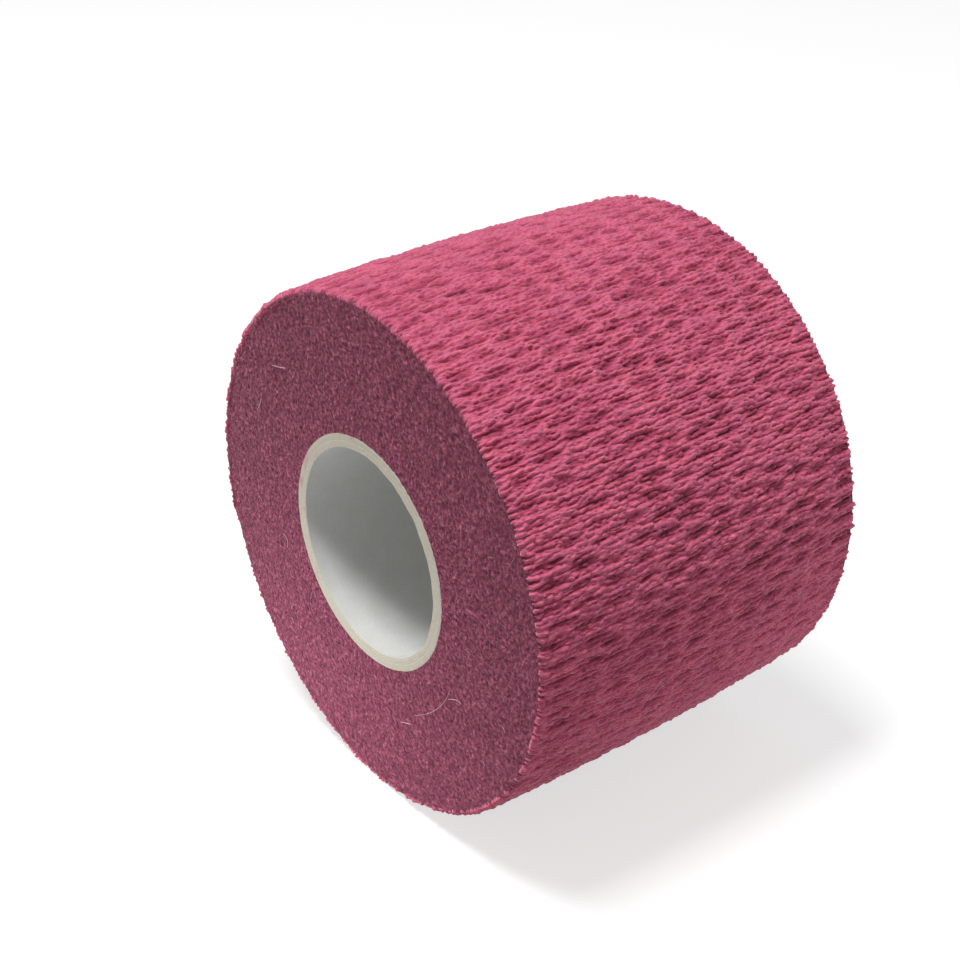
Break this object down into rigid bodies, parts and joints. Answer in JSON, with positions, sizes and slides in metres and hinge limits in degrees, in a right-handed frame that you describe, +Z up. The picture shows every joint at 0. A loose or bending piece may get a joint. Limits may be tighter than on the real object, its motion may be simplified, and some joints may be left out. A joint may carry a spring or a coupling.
{
  "type": "grip tape roll",
  "caption": "Roll of elastic crepe cloth tape wound on a paperboard core, lying on its round side, with a free end that peels off.",
  "frame": {"origin": "middle of the core's bore, half way along the roll", "axes": "+Y along the roll's axis, +Z up with the roll lying on its round side"},
  "size_m": [0.0677, 0.05, 0.0672],
  "materials": {
    "core_paper": "matte",
    "core_board": "matte",
    "tape_cloth": "matte",
    "tape_coat": "matte"
  },
  "bodies": {
    "roll": {"core_liner": "core_paper", "core_board_inner": "core_board", "core_board_outer": "core_board", "core_cover": "core_paper", "tape_backing": "tape_cloth", "tape_adhesive": "tape_coat"},
    "tape_end_1": {"tape_end_backing_1": "tape_cloth", "tape_end_adhesive_1": "tape_coat"},
    "tape_end_2": {"tape_end_backing_2": "tape_cloth", "tape_end_adhesive_2": "tape_coat"},
    "tape_end_3": {"tape_end_backing_3": "tape_cloth", "tape_end_adhesive_3": "tape_coat"},
    "tape_end_4": {"tape_end_backing_4": "tape_cloth", "tape_end_adhesive_4": "tape_coat"},
    "tape_end_5": {"tape_end_backing_5": "tape_cloth", "tape_end_adhesive_5": "tape_coat"},
    "tape_end_6": {"tape_end_backing_6": "tape_cloth", "tape_end_adhesive_6": "tape_coat"}
  },
  "joints": [
    {"name": "peel_1", "type": "hinge", "parent": "roll", "child": "tape_end_1", "pos_m": [-0.01698, 0, 0.0294], "axis": [0, 1, 0], "range_deg": [0, 30]},
    {"name": "peel_2", "type": "hinge", "parent": "tape_end_1", "child": "tape_end_2", "pos_m": [-0.02274, 0, 0.02521], "axis": [0, 1, 0], "range_deg": [0, 20]},
    {"name": "peel_3", "type": "hinge", "parent": "tape_end_2", "child": "tape_end_3", "pos_m": [-0.02751, 0, 0.01991], "axis": [0, 1, 0], "range_deg": [0, 20]},
    {"name": "peel_4", "type": "hinge", "parent": "tape_end_3", "child": "tape_end_4", "pos_m": [-0.03108, 0, 0.01374], "axis": [0, 1, 0], "range_deg": [0, 20]},
    {"name": "peel_5", "type": "hinge", "parent": "tape_end_4", "child": "tape_end_5", "pos_m": [-0.03328, 0, 0.00696], "axis": [0, 1, 0], "range_deg": [0, 20]},
    {"name": "peel_6", "type": "hinge", "parent": "tape_end_5", "child": "tape_end_6", "pos_m": [-0.03402, 0, -0.00013], "axis": [0, 1, 0], "range_deg": [0, 20]}
  ],
  "couplings": [
    {"joint": "peel_2", "follows": "peel_1", "ratio": 0.66667},
    {"joint": "peel_3", "follows": "peel_1", "ratio": 0.66667},
    {"joint": "peel_4", "follows": "peel_1", "ratio": 0.66667},
    {"joint": "peel_5", "follows": "peel_1", "ratio": 0.66667},
    {"joint": "peel_6", "follows": "peel_1", "ratio": 0.66667}
  ]
}
